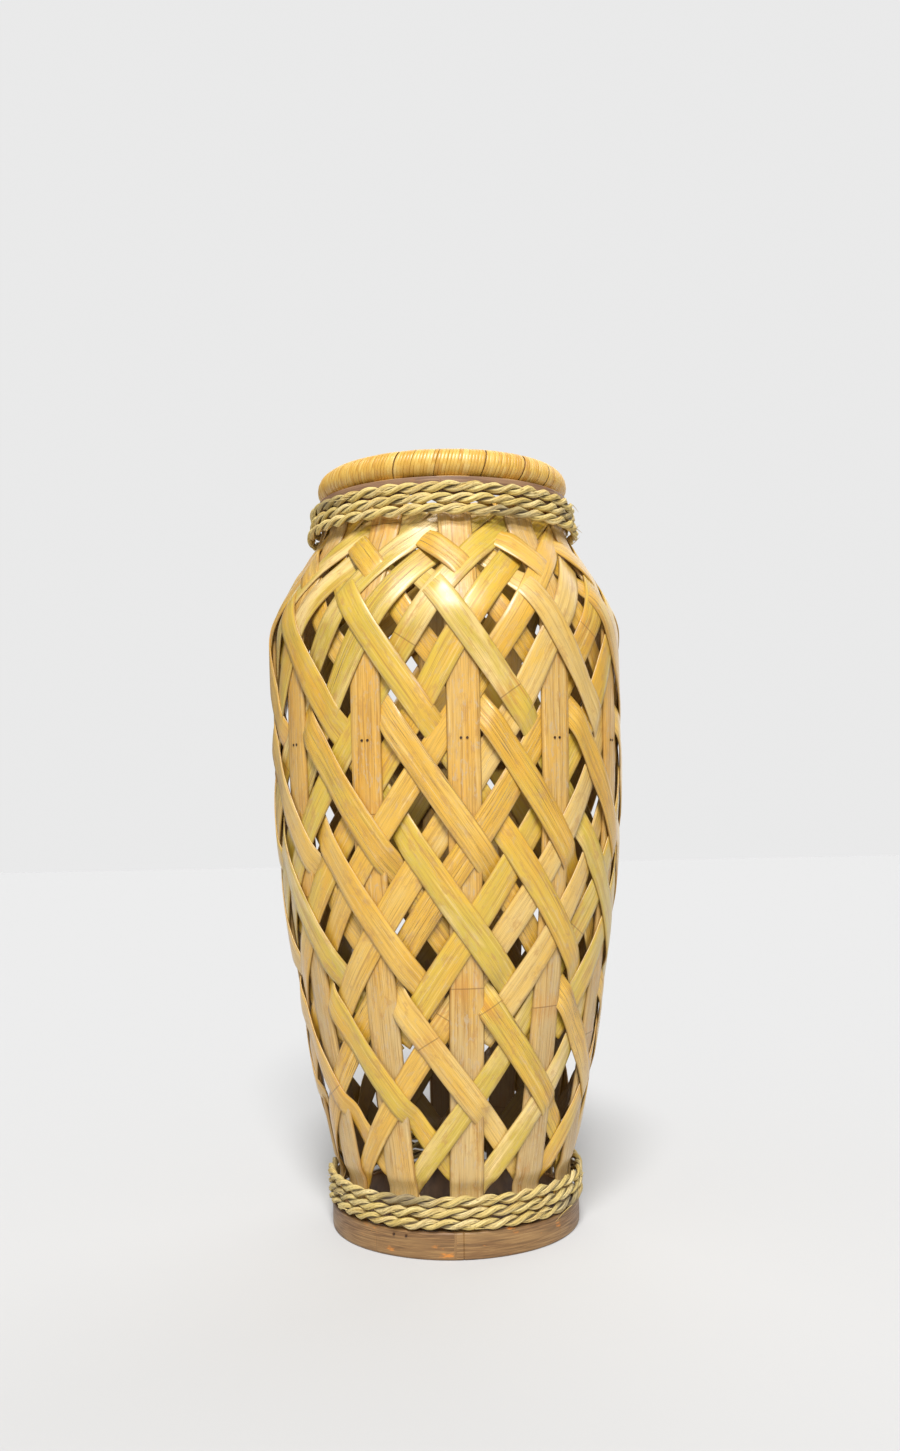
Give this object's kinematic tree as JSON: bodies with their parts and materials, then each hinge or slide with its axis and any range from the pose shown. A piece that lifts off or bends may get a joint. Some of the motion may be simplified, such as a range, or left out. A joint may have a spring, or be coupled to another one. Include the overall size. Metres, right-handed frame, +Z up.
{
  "type": "woven bamboo floor vase",
  "caption": "Open barrel-shaped vase woven from upright bamboo stakes and diagonal strips, with rope windings at neck and foot and a wrapped rim.",
  "frame": {"origin": "centre of the foot hoop's lower face, on the surface that the vase stands on", "axes": "+Z up along the vase's axis, towards the open mouth; -Y towards the front"},
  "size_m": [0.2838, 0.2838, 0.5988],
  "materials": {
    "stake_bamboo": "dry split bamboo, pale tan, satin",
    "strip_bamboo": "smooth bamboo skin, golden straw, satin",
    "brown_bamboo": "brown bamboo band, satin",
    "rope": "twisted dry seagrass, matt",
    "rim_wrap": "fine wound bamboo strip, satin",
    "floor_board": "dark board, matt",
    "nails": "dull steel wire nail"
  },
  "bodies": {
    "root": {"foot_hoop": "brown_bamboo", "inner_foot_hoop": "brown_bamboo", "floor_disc": "floor_board", "foot_nails": "nails", "foot_rope": "rope", "waist_hoop": "brown_bamboo", "waist_nails": "nails", "neck_hoop": "brown_bamboo", "inner_neck_hoop": "brown_bamboo", "neck_nails": "nails", "neck_rope": "rope", "rim_core": "brown_bamboo", "rim_wrap": "rim_wrap", "stake_01": "stake_bamboo", "stake_02": "stake_bamboo", "stake_03": "stake_bamboo", "stake_04": "stake_bamboo", "stake_05": "stake_bamboo", "stake_06": "stake_bamboo", "stake_07": "stake_bamboo", "stake_08": "stake_bamboo", "stake_09": "stake_bamboo", "stake_10": "stake_bamboo", "stake_11": "stake_bamboo", "stake_12": "stake_bamboo", "fall_long_01": "strip_bamboo", "fall_long_02": "strip_bamboo", "fall_long_03": "strip_bamboo", "fall_long_04": "strip_bamboo", "fall_long_05": "strip_bamboo", "fall_long_06": "strip_bamboo", "fall_long_07": "strip_bamboo", "fall_long_08": "strip_bamboo", "fall_long_09": "strip_bamboo", "fall_long_10": "strip_bamboo", "fall_long_11": "strip_bamboo", "fall_long_12": "strip_bamboo", "rise_long_01": "strip_bamboo", "rise_long_02": "strip_bamboo", "rise_long_03": "strip_bamboo", "rise_long_04": "strip_bamboo", "rise_long_05": "strip_bamboo", "rise_long_06": "strip_bamboo", "rise_long_07": "strip_bamboo", "rise_long_08": "strip_bamboo", "rise_long_09": "strip_bamboo", "rise_long_10": "strip_bamboo", "rise_long_11": "strip_bamboo", "rise_long_12": "strip_bamboo", "fall_short_01": "strip_bamboo", "fall_short_02": "strip_bamboo", "fall_short_03": "strip_bamboo", "fall_short_04": "strip_bamboo", "rise_short_01": "strip_bamboo", "rise_short_02": "strip_bamboo", "rise_short_03": "strip_bamboo", "rise_short_04": "strip_bamboo"}
  },
  "joints": []
}
